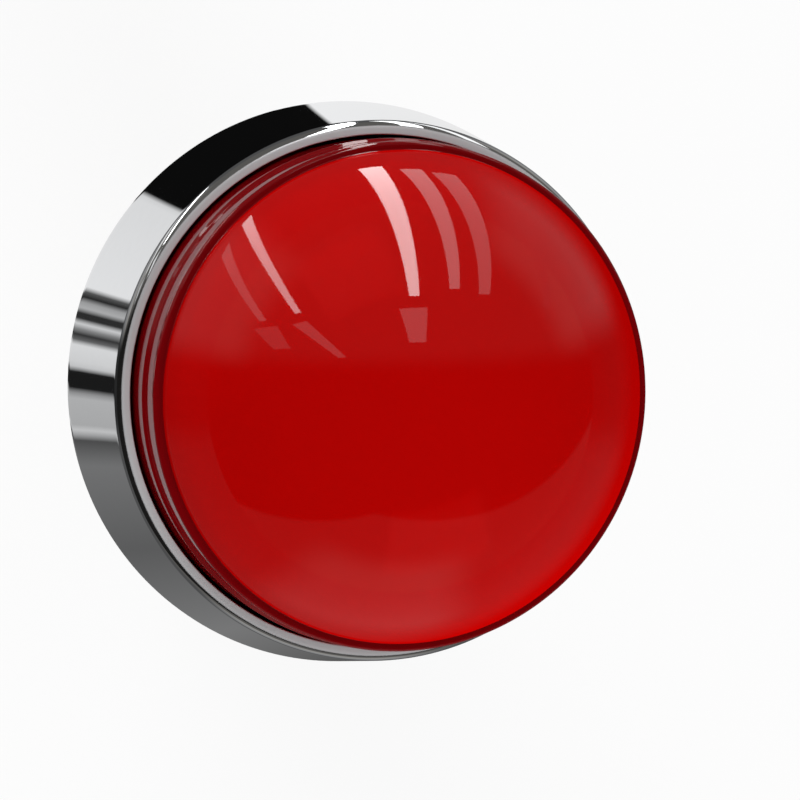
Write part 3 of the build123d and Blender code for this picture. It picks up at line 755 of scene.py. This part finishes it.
def lamp_clear():
    """Clear cast lamp body, a little cloudy."""

    def build(finish):
        cloud = finish.noise(scale=420.0, detail=2.0)
        return {
            "Base Color": finish.tones(cloud, (0.86, 0.88, 0.9), (0.95, 0.96, 0.98)),
            "Roughness": 0.04 + 0.06 * cloud,
            "IOR": 1.5,
            "Transmission Weight": 0.85,
        }

    return surface("clear_lamp", build)


# Operators


class PieceOperator:
    """What the operators share."""

    bl_options = {"REGISTER"}

    @property
    def settings(self):
        """All settings of the button."""
        return bpy.context.scene.dome_button


class BUTTON_OT_lens(PieceOperator, bpy.types.Operator):
    """Clear red dome with its shoulder, stepped skirt and snap bead"""

    bl_idname = "dome_button.lens"
    bl_label = "Dome lens"

    def execute(self, context):
        lens = self.settings.lens
        skirt = LENS_HIGH.x
        band = skirt - lens.step
        edge = band - lens.shoulder
        bore = skirt - lens.wall
        shoulder = lens.edge_level - lens.drop
        step_level = shoulder - lens.band
        inner_edge = lens.edge_level - lens.corner
        bead_top = LENS_LOW.z + lens.bead_height
        corners = [
            (edge, lens.edge_level),
            (edge, shoulder),
            (band, shoulder),
            (band, step_level),
            (skirt, step_level - lens.step),
            (skirt, LENS_LOW.z),
            (bore, LENS_LOW.z),
            (bore - lens.bead, LENS_LOW.z + lens.bead_height / 2),
            (bore - lens.bead, bead_top),
            (bore, bead_top),
            (bore, inner_edge),
        ]
        outer = dome_section(edge, lens.edge_level, LENS_HIGH.z)
        inner = dome_section(bore, inner_edge, LENS_HIGH.z - lens.wall)[::-1]
        section = np.concatenate([outer[:-1], eased(corners, LENS_CORNERS), inner[1:]])
        make_piece("lens_moulding", turned(section), ["dome_lens"], red_lens())
        return {"FINISHED"}


class BUTTON_OT_diffuser(PieceOperator, bpy.types.Operator):
    """White dome under the lens that spreads the lamp's light"""

    bl_idname = "dome_button.diffuser"
    bl_label = "Light diffuser"

    def execute(self, context):
        lens = self.settings.lens
        gap = 0.3 * MM
        wall = 1.5 * MM
        radius = DIFFUSER_HIGH.x
        edge = lens.edge_level - lens.corner - gap
        top = LENS_HIGH.z - lens.wall - gap
        outer = dome_section(radius, edge, top)
        inner = dome_section(radius - wall, edge, top - wall)[::-1]
        inside, low = radius - wall, DIFFUSER_LOW.z
        foot = [(radius, edge), (radius, low), (inside, low), (inside, edge)]
        section = np.concatenate([outer[:-1], eased(foot, DIFFUSER_CORNERS), inner[1:]])
        finish = moulded("white_moulding")
        make_piece("diffuser_dome", turned(section), ["light_diffuser"], finish)
        return {"FINISHED"}


class BUTTON_OT_bezel(PieceOperator, bpy.types.Operator):
    """Chrome cup, and the threaded stem with its two bayonet slots"""

    bl_idname = "dome_button.bezel"
    bl_label = "Bezel and stem"

    def execute(self, context):
        bezel = self.settings.bezel
        base, height = BEZEL_HIGH.x, BEZEL_HIGH.z
        lip = base - bezel.flare
        mouth = lip - bezel.lip
        guide_outside = bezel.guide + bezel.guide_wall
        corners = [
            (base, 0.0),
            (base, bezel.land),
            (lip, height),
            (mouth, height),
            (mouth, bezel.floor),
            (guide_outside, bezel.floor),
            (guide_outside, bezel.guide_top),
            (bezel.guide, bezel.guide_top),
            (bezel.guide, -bezel.ledge),
            (bezel.bore, -bezel.ledge),
            (bezel.bore, -bezel.collar_length),
            (bezel.collar, -bezel.collar_length),
            (bezel.collar, 0.0),
        ]
        cup = turned(eased(corners, BEZEL_CORNERS, closed=True)[::-1], closed=True)
        make_piece("bezel_cup", cup, ["bezel_housing"], chrome_plate())
        make_piece("threaded_stem", self.stem(bezel), ["bezel_housing"], chrome_plate())
        return {"FINISHED"}

    def stem(self, bezel):
        """Threaded tube, and below it a plain end with two L-shaped slots, an entry and a turn each."""
        end = BEZEL_LOW.z
        rise, slot_height, gap, bevel = 2.0 * MM, 2.0 * MM, 0.2 * MM, 0.3 * MM
        entry, run = radians(18.2), radians(28.0)
        middles = np.array([pi / 2, 3 * pi / 2])
        low, high = end + rise - gap, end + rise + slot_height + gap
        top = high + bevel
        edges = (middles[:, None] + np.array([-run - entry / 2, -run + entry / 2, entry / 2])).ravel()
        angles = np.unique(np.round(np.concatenate([np.linspace(0, 2 * pi, ROUND_STEPS, False), edges]), 9))
        levels = np.array([end, end + bevel, low, high, top])
        outside = np.repeat(np.array([bezel.root - bevel] + 4 * [bezel.root])[:, None], len(angles), 1)
        inside = np.full_like(outside, bezel.bore)
        cell_turn = (angles + np.append(angles[1:], angles[0] + 2 * pi)) / 2
        cell_level = (levels[1:] + levels[:-1]) / 2
        off = (cell_turn[:, None] - middles + pi) % (2 * pi) - pi
        in_entry = (np.abs(off + run) < entry / 2).any(1)[None] & (cell_level < high)[:, None]
        in_run = ((off > -run - entry / 2) & (off < entry / 2)).any(1)[None]
        in_run = in_run & ((cell_level > low) & (cell_level < high))[:, None]
        plain_end = walled(angles, levels, outside, inside, ~(in_entry | in_run))
        thread = threaded_tube(bezel.root, bezel.crest, bezel.pitch, top, -bezel.collar_length, bezel.bore)
        return joined(thread, plain_end)


class BUTTON_OT_nut(PieceOperator, bpy.types.Operator):
    """Hexagon nut with a flange and a threaded bore"""

    bl_idname = "dome_button.nut"
    bl_label = "Mounting nut"

    def execute(self, context):
        nut, pitch = self.settings.nut, self.settings.bezel.pitch
        flange, top, bottom = NUT_HIGH.x, NUT_HIGH.z, NUT_LOW.z
        flat = nut.flats / 2
        tip = flat / cos(pi / 6)
        bore = nut.minor
        under = top - nut.flange
        corners = [
            (bore, top),
            (flange, top),
            (flange, under),
            (tip, under),
            (tip, bottom),
            (bore, bottom),
        ]
        section = eased(corners, NUT_CORNERS, closed=True)
        plain_end, tip_cut, bore_wall, flat_share = 0.6 * MM, 0.5 * MM, 2 * MM, 0.6
        levels = np.linspace(bottom + plain_end, top - plain_end, NUT_ROWS)
        thread = np.stack([np.full_like(levels, bore), levels], 1)
        section = np.concatenate([section, thread])
        angle = np.linspace(0, 2 * pi, ROUND_STEPS, endpoint=False)
        radius = np.repeat(section[:, :1], ROUND_STEPS, 1)
        level = np.repeat(section[:, 1:], ROUND_STEPS, 1)
        six = flat / np.cos(angle % (pi / 3) - pi / 6)
        six = np.minimum(six, tip - tip_cut)
        on_six = (section[:, 1] <= under + NEARLY)[:, None] & (radius > bore + bore_wall)
        radius = np.where(on_six, np.minimum(radius, six - (tip - radius) * flat_share), radius)
        depth = smooth_rise((level - bottom) / pitch) * smooth_rise((top - level) / pitch)
        cut = nut.depth * depth * (1 - thread_height(level / pitch - angle[None] / (2 * pi)))
        radius = np.where(radius < bore + NEARLY, radius + cut, radius)
        grid = np.stack([radius * np.cos(angle), radius * np.sin(angle), level], -1)
        shape = grid.reshape(-1, 3), [ring_faces(len(section), ROUND_STEPS, True)]
        make_piece("nut_moulding", shape, ["mounting_nut"], moulded("black_moulding"))
        return {"FINISHED"}


class BUTTON_OT_spring(PieceOperator, bpy.types.Operator):
    """Round-wire return spring with closed ends"""

    bl_idname = "dome_button.spring"
    bl_label = "Return spring"

    def execute(self, context):
        spring = self.settings.spring
        radius = SPRING_HIGH.x - spring.wire / 2
        closed = 0.12
        part = np.linspace(0, 1, COIL_STEPS)
        angle = 2 * pi * spring.turns * part
        rise = smooth_rise((part - closed) / (1 - 2 * closed))
        start = SPRING_LOW.z + spring.wire / 2
        end = SPRING_HIGH.z - spring.wire / 2
        line = np.stack([radius * np.cos(angle), radius * np.sin(angle), start + (end - start) * rise], 1)
        coil, finish = wire(line, spring.wire / 2), drawn_metal("drawn_steel")
        piece = make_piece("spring_coil", coil, ["return_spring"], finish)
        travel = next(j for j in frame["joints"] if j["name"] == "button_press")["range_m"][1]
        keep = 1 - travel / (SPRING_HIGH.z - SPRING_LOW.z)
        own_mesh(piece)
        return {"FINISHED"}


class BUTTON_OT_mouldings(PieceOperator, bpy.types.Operator):
    """Plunger, lamp holder and switch mouldings, with eased edges"""

    bl_idname = "dome_button.mouldings"
    bl_label = "Mouldings"

    def execute(self, context):
        for node in ("plunger", "lamp_holder"):
            ease_node(node, moulded("white_moulding"))
        for node in ("switch_case", "switch_cover"):
            ease_node(node, moulded("black_moulding"))
        ease_node("switch_pin", moulded("red_moulding"))
        return {"FINISHED"}


class BUTTON_OT_metalwork(PieceOperator, bpy.types.Operator):
    """Lever, blade, terminals and lamp contacts, with eased edges"""

    bl_idname = "dome_button.metalwork"
    bl_label = "Metalwork"

    def execute(self, context):
        ease_node("switch_lever", drawn_metal("drawn_steel"))
        contacts = ["lamp_contact_left", "lamp_contact_right"]
        terminals = ["terminal_common", "terminal_open", "terminal_closed"]
        for node in (*contacts, *terminals, "snap_blade"):
            ease_node(node, drawn_metal("rolled_brass"))
        return {"FINISHED"}


class BUTTON_OT_lamp(PieceOperator, bpy.types.Operator):
    """Wedge lamp: base, leads and clear emitter"""

    bl_idname = "dome_button.lamp"
    bl_label = "Lamp"

    def execute(self, context):
        ease_node("bulb_base", moulded("lamp_moulding"))
        for node in ("bulb_lead_left", "bulb_lead_right"):
            paint_node(node, drawn_metal("drawn_steel"))
        rim_width, rim_height = 0.4 * MM, 1.0 * MM
        rim, top, base = LAMP_HIGH.x, LAMP_HIGH.z, LAMP_LOW.z
        radius, shelf = rim - rim_width, base + rim_height
        tip = arc((0.0, top - radius), radius, pi / 2, 0.0, LAMP_TIP_STEPS)
        foot = [(radius, top - radius), (radius, shelf), (rim, shelf), (rim, base), (0.0, base)]
        section = np.concatenate([tip[:-1], eased(foot, LAMP_CORNERS)])
        body = turned(section, steps=LAMP_STEPS)
        make_piece("lamp_emitter", body, ["led_emitter"], lamp_clear())
        return {"FINISHED"}


class BUTTON_OT_studio(PieceOperator, bpy.types.Operator):
    """Pale floor, soft lights, reflected cards and the camera"""

    bl_idname = "dome_button.studio"
    bl_label = "Studio"

    def execute(self, context):
        studio = self.settings.studio
        self.floor(studio)
        self.ring()
        self.world(studio)
        self.strips(studio)
        self.lights()
        self.camera(studio)
        context.scene.view_settings.view_transform = "Standard"
        return {"FINISHED"}

    @staticmethod
    def picture_axes(studio):
        """Right, up and towards the camera, with +Y upright in the picture."""
        back = Vector(studio.sight).normalized()
        right = Vector((0, 1, 0)).cross(back).normalized()
        return right, back.cross(right), back

    @staticmethod
    def seen_rays(finish, *kinds):
        """1 for rays of these kinds and 0 for the others."""
        total = 0.0
        for kind in kinds:
            total = finish.node("ShaderNodeLightPath", output=kind) + total
        return finish.math("MINIMUM", total, 1.0)

    def floor(self, studio):
        """Wide floor. Camera, mirror and glass rays see it as white, but for the object's faint shadow."""
        reach, white_share, shadow_start, shadow_end = 4.0, 0.84, 0.1, 0.5
        corners = np.array([(-1, -1, 0), (1, -1, 0), (1, 1, 0), (-1, 1, 0)]) * reach
        corners[:, 2] = CAD_LOW.z
        material, finish = new_material("floor_paper")
        cloud = finish.noise(scale=40.0, detail=3.0)
        tone = finish.tones(cloud, tuple(0.985 * c for c in studio.floor), tuple(studio.floor))
        paper = finish.node("ShaderNodeBsdfDiffuse", None, {"Color": tone})
        white = finish.node("ShaderNodeEmission", None, {"Color": (1, 1, 1, 1), "Strength": 1.0})
        seen = self.seen_rays(finish, "Is Camera Ray", "Is Glossy Ray", "Is Transmission Ray")
        away = finish.step(finish.distance(finish.place()), shadow_start, shadow_end)
        plain = white_share + (1 - white_share) * away
        mixed = finish.node("ShaderNodeMixShader", None, {0: plain * seen, 1: paper, 2: white})
        finish.node("ShaderNodeOutputMaterial", None, {"Surface": mixed})
        self.card("studio_floor", corners, [(0, 1, 2, 3)], material)

    def ring(self):
        """Pale and dark cards that lie round the object on the floor, and that only mirrors see.

        A flat ring of radius and angle: its tone follows the angle near the object and is dim further out.
        """
        radius = np.array([0.036, 0.1, 6.0])[:, None]
        near_edge, dim_edge = 0.12, 0.26
        angle = np.linspace(0, 2 * pi, RING_STEPS, endpoint=False)[None]
        level = np.full((len(radius), RING_STEPS), CAD_LOW.z + MM)
        points = np.stack([radius * np.cos(angle), radius * np.sin(angle), level], -1).reshape(-1, 3)
        material, finish = new_material("mirrored_cards")
        where = finish.place()
        turn = finish.math("FRACT", finish.turn(where) / (2 * pi) + 1.0)
        stops = [(degrees / 360, (tone, tone, tone)) for degrees, tone in CARD_TONES]
        near = finish.node("ShaderNodeValToRGB", {"stops": stops}, {"Fac": turn})
        reach = finish.distance(where)
        far = finish.math("GREATER_THAN", reach, near_edge)
        tone = finish.node("ShaderNodeMix", {"data_type": "RGBA"}, {0: far, 6: near, 7: (1, 1, 1, 1)}, 2)
        panels = finish.panels(where) * finish.step(reach, near_edge, dim_edge)
        dim = 0.025 + 0.06 * finish.sides(where) + 0.2 * panels
        glow = finish.node("ShaderNodeEmission", None, {"Color": tone, "Strength": 1 - far * (1 - dim)})
        finish.node("ShaderNodeOutputMaterial", None, {"Surface": glow})
        faces = ring_faces(len(radius), RING_STEPS).tolist()
        self.mirrored(self.card("studio_ring", points, faces, material))

    def world(self, studio):
        """White for the camera, even soft light, and for mirrors a dim room with a lit ceiling and table."""
        world = bpy.data.worlds.new("studio_world")
        bpy.context.scene.world = world
        world.use_nodes = True
        finish = Finish(world.node_tree)
        where = finish.node("ShaderNodeTexCoord", output="Generated")
        right, up, back = (
            finish.node("ShaderNodeVectorMath", {"operation": "DOT_PRODUCT"}, {0: where, 1: axis}, "Value")
            for axis in self.picture_axes(studio)
        )
        soft_light = 0.54
        side = finish.math("ABSOLUTE", right)
        ceiling = finish.step(up, 0.1, 0.3)
        table = finish.step(-0.75 * up - 0.4 * side - back, -0.02, 0.04)
        level = finish.math("ABSOLUTE", finish.axis(where, "Z"))
        panels = finish.panels(where) * (1 - finish.step(level, 0.1, 0.4))
        room = 0.012 + 0.1 * ceiling + 0.1 * table + 0.24 * panels
        mirror = self.seen_rays(finish, "Is Glossy Ray")
        camera = self.seen_rays(finish, "Is Camera Ray")
        strength = soft_light * (1 - mirror) + room * mirror
        strength = strength * (1 - camera) + camera
        tone = finish.tones(mirror, (1.0, 1.0, 1.0), (1.0, 0.96, 0.9))
        light = finish.node("ShaderNodeBackground", None, {"Color": tone, "Strength": strength})
        finish.node("ShaderNodeOutputWorld", None, {"Surface": light})

    def strips(self, studio):
        """Long lamps on the ceiling, which the dome mirrors: flat strips between two places each."""
        axes = np.array(self.picture_axes(studio))
        dome_centre = np.array([0.0, 0.0, 0.013])
        for name, start, end, width, strength in STRIPS:
            line = np.array([start, end])
            along = line[1] - line[0]
            side = np.cross(along, [0, 1, 0])
            side *= width / 2 / np.linalg.norm(side)
            corners = np.stack([line[0] - side, line[0] + side, line[1] + side, line[1] - side])
            material, finish = new_material(name)
            glow = finish.node("ShaderNodeEmission", None, {"Strength": strength})
            finish.node("ShaderNodeOutputMaterial", None, {"Surface": glow})
            self.mirrored(self.card(name, corners @ axes + dome_centre, [(0, 1, 2, 3)], material))

    def card(self, name, points, faces, material):
        """A flat stage card."""
        mesh = bpy.data.meshes.new(name)
        mesh.from_pydata(np.asarray(points).tolist(), [], faces)
        mesh.materials.append(material)
        card = bpy.data.objects.new(name, mesh)
        bpy.context.scene.collection.objects.link(card)
        return card

    @staticmethod
    def mirrored(card):
        """Lets only mirrors see a card."""
        card.visible_camera = card.visible_diffuse = card.visible_transmission = False
        card.visible_shadow = card.visible_volume_scatter = False

    @staticmethod
    def lights():
        """Soft square lights that face the object and that mirrors don't see."""
        for name, at in LIGHTS.items():
            data = bpy.data.lights.new(name, "AREA")
            data.size = LIGHT_SIZE
            data.energy = LIGHT_POWER
            lamp = bpy.data.objects.new(name, data)
            lamp.location = at
            lamp.rotation_euler = (Vector(LIGHT_TARGET) - Vector(at)).to_track_quat("-Z", "Y").to_euler()
            lamp.visible_camera = lamp.visible_glossy = False
            bpy.context.scene.collection.objects.link(lamp)

    def camera(self, studio):
        """Camera on the line of sight, with +Y upright in the picture."""
        right, up, back = self.picture_axes(studio)
        data = bpy.data.cameras.new("photo_camera")
        data.lens = studio.lens
        data.sensor_width = 36.0
        data.clip_start, data.clip_end = 0.01, 50.0
        camera = bpy.data.objects.new("photo_camera", data)
        turn = Matrix((right, up, back)).transposed().to_4x4()
        camera.matrix_world = Matrix.Translation(Vector(studio.target) + back * studio.distance) @ turn
        bpy.context.scene.collection.objects.link(camera)
        bpy.context.scene.camera = camera


class BUTTON_PT_panel(bpy.types.Panel):
    """Lists the settings and the steps that build the button"""

    bl_idname = "BUTTON_PT_panel"
    bl_label = "Dome button"
    bl_space_type = "VIEW_3D"
    bl_region_type = "UI"
    bl_category = "Dome button"

    def draw(self, context):
        """Draws a box for each group of settings and a button for each step."""
        settings = context.scene.dome_button
        for group in (settings.lens, settings.bezel, settings.nut, settings.spring, settings.studio):
            box = self.layout.box()
            for name in group.bl_rna.properties.keys():
                if name not in ("rna_type", "name"):
                    box.prop(group, name)
        for step in STEPS:
            self.layout.operator(step.bl_idname)


GROUPS = (LensSettings, BezelSettings, NutSettings, SpringSettings, StudioSettings, ButtonSettings)
STEPS = (
    BUTTON_OT_lens,
    BUTTON_OT_diffuser,
    BUTTON_OT_bezel,
    BUTTON_OT_nut,
    BUTTON_OT_spring,
    BUTTON_OT_mouldings,
    BUTTON_OT_metalwork,
    BUTTON_OT_lamp,
    BUTTON_OT_studio,
)


def register():
    """Makes the settings, the steps and the panel known to Blender."""
    for part in (*GROUPS, *STEPS, BUTTON_PT_panel):
        bpy.utils.register_class(part)
    bpy.types.Scene.dome_button = PointerProperty(type=ButtonSettings)


def unregister():
    """Takes them out again."""
    del bpy.types.Scene.dome_button
    for part in reversed((*GROUPS, *STEPS, BUTTON_PT_panel)):
        bpy.utils.unregister_class(part)


def main():
    register()
    for step in STEPS:
        group, name = step.bl_idname.split(".")
        getattr(getattr(bpy.ops, group), name)()


if __name__ == "__main__":
    main()
